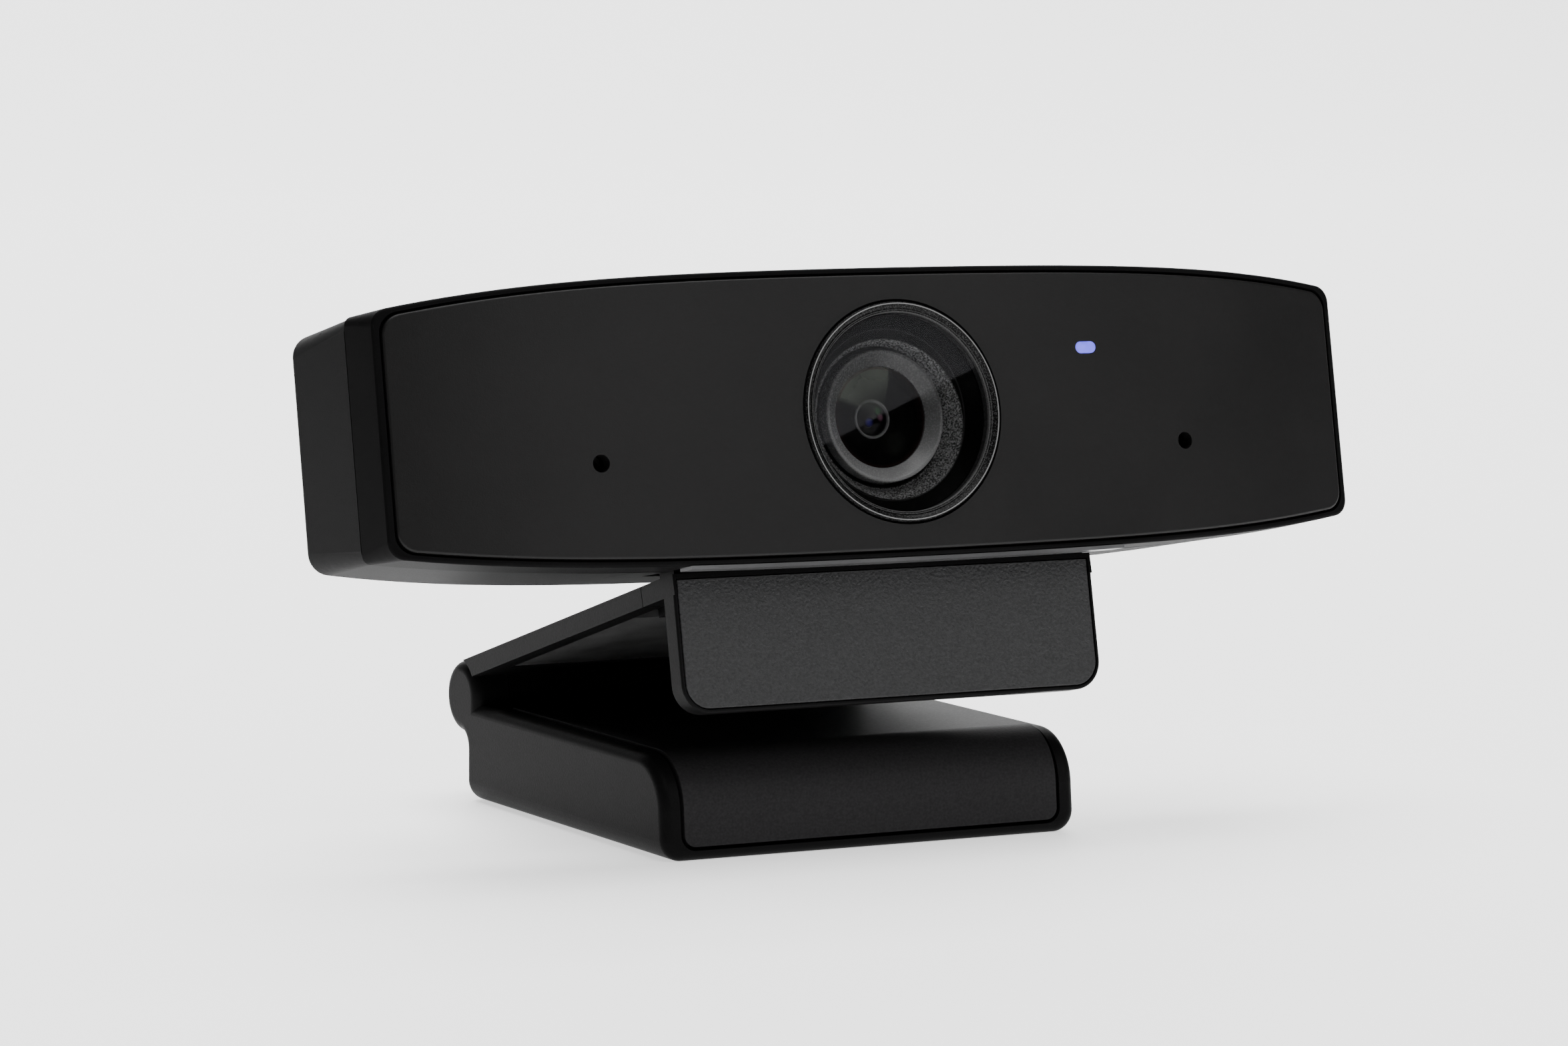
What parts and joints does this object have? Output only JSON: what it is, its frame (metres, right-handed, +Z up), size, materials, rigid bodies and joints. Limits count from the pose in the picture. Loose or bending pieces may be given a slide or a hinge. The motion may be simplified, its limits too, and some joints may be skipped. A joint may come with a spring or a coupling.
{
  "type": "webcam",
  "caption": "Wide desktop webcam with a curved front, central glazed lens, status light and microphone holes, on a folding monitor clip stand with two friction hinges.",
  "frame": {"origin": "middle of the object's footprint, on the surface that the lower arm stands on", "axes": "+Z up, the lens looks towards -Y and a little up, +X is the wide head's length"},
  "size_m": [0.1078, 0.0578, 0.0571],
  "materials": {
    "case_black": "fine moulded texture",
    "panel_black": "satin",
    "trim_grey": "satin",
    "steel": "plain",
    "ring_grey": "speckled satin",
    "window_glass": "clear, dark",
    "shroud_grey": "stippled",
    "barrel_black": "satin",
    "lens_glass": "coated",
    "bright_ring": "bright",
    "holder_black": "matt",
    "filter_glass": "coated",
    "chip_black": "matt",
    "board_green": "solder mask",
    "shield_metal": "tinned",
    "aluminium": "satin",
    "socket_white": "plain",
    "rubber_black": "matt",
    "lamp_violet": "lit light pipe",
    "lamp_body": "plain",
    "clip_black": "fine moulded texture",
    "inlay_black": "fine texture",
    "sleeve_white": "plain",
    "grip_rubber": "fine texture",
    "brass": "turned"
  },
  "bodies": {
    "base": {"lower_arm_shell": "clip_black", "lower_arm_base": "clip_black", "grip_pad": "grip_rubber", "tripod_insert": "brass", "base_screws": "steel", "clip_pin": "steel"},
    "arm": {"upper_arm": "clip_black", "hook_plate": "clip_black", "hook_front_pad": "inlay_black", "hook_grip": "rubber_black", "arm_liner": "rubber_black", "hook_screws": "steel", "clip_sleeves": "sleeve_white", "tilt_sleeves": "sleeve_white"},
    "head": {"front_shell": "case_black", "rear_cover": "case_black", "front_panel": "panel_black", "hinge_trim": "trim_grey", "tilt_pin": "steel", "lens_ring": "ring_grey", "lens_window": "window_glass", "lens_shroud": "shroud_grey", "barrel_ring": "barrel_black", "lens_barrel": "barrel_black", "front_lens": "lens_glass", "aperture_plate": "barrel_black", "aperture_ring": "bright_ring", "inner_lens": "lens_glass", "lens_holder": "holder_black", "ir_filter": "filter_glass", "image_sensor": "chip_black", "sensor_board": "board_green", "board_connector": "holder_black", "main_board": "board_green", "board_screws": "steel", "processor": "chip_black", "shield_can": "shield_metal", "heat_spreader": "aluminium", "cable_socket": "socket_white", "cable_gland": "rubber_black", "cover_screws": "steel", "microphone_seals": "rubber_black", "microphones": "shield_metal", "lamp_lens": "lamp_violet", "lamp": "lamp_body"}
  },
  "joints": [
    {"name": "clip_fold", "type": "hinge", "parent": "base", "child": "arm", "pos_m": [0, 0.02522, 0.0106], "axis": [1, 0, 0], "range_deg": [-80, 16]},
    {"name": "head_tilt", "type": "hinge", "parent": "arm", "child": "head", "pos_m": [0, -0.02028, 0.03], "axis": [1, 0, 0], "range_deg": [-6, 35]}
  ]
}
